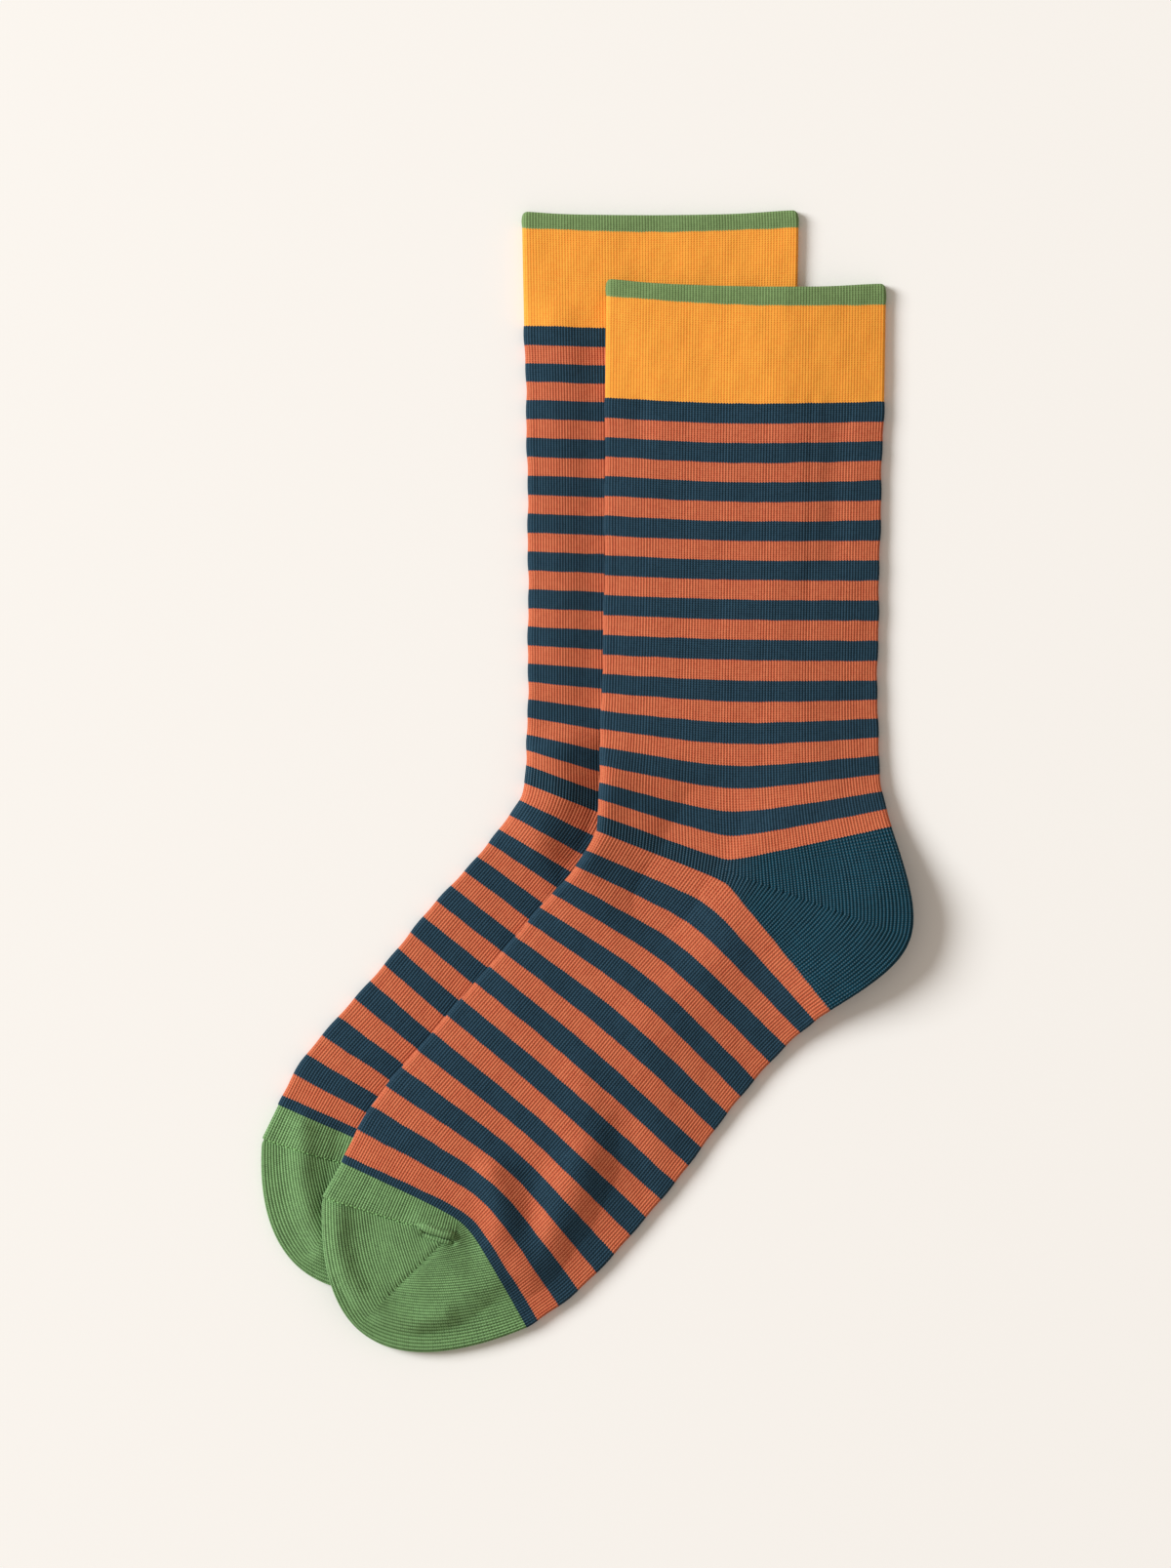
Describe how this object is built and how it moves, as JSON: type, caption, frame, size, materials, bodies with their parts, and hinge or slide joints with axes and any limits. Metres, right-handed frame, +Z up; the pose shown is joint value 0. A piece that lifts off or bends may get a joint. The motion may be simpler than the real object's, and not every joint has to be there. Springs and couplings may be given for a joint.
{
  "type": "pair of socks",
  "caption": "Pair of striped knitted crew socks laid flat on their sides, one across the other, with contrast welt, cuff, heel and toe.",
  "frame": {"origin": "centre of the pair's box, on the surface it lies on", "axes": "+X from the instep folds to the heels, +Y from the toes to the cuffs, +Z up from the surface"},
  "size_m": [0.1966, 0.3443, 0.0113],
  "materials": {
    "green_knit": "fine plain knit, matt with a soft nap",
    "yellow_knit": "fine close rib knit, matt with a soft nap",
    "striped_knit": "fine plain knit in even teal and orange stripes, matt",
    "teal_knit": "fine plain knit, matt"
  },
  "bodies": {
    "root": {"lower_welt": "green_knit", "lower_cuff": "yellow_knit", "lower_leg": "striped_knit", "lower_heel": "teal_knit", "lower_foot": "striped_knit", "lower_toe": "green_knit", "upper_welt": "green_knit", "upper_cuff": "yellow_knit", "upper_leg": "striped_knit", "upper_heel": "teal_knit", "upper_foot": "striped_knit", "upper_toe": "green_knit"}
  },
  "joints": []
}
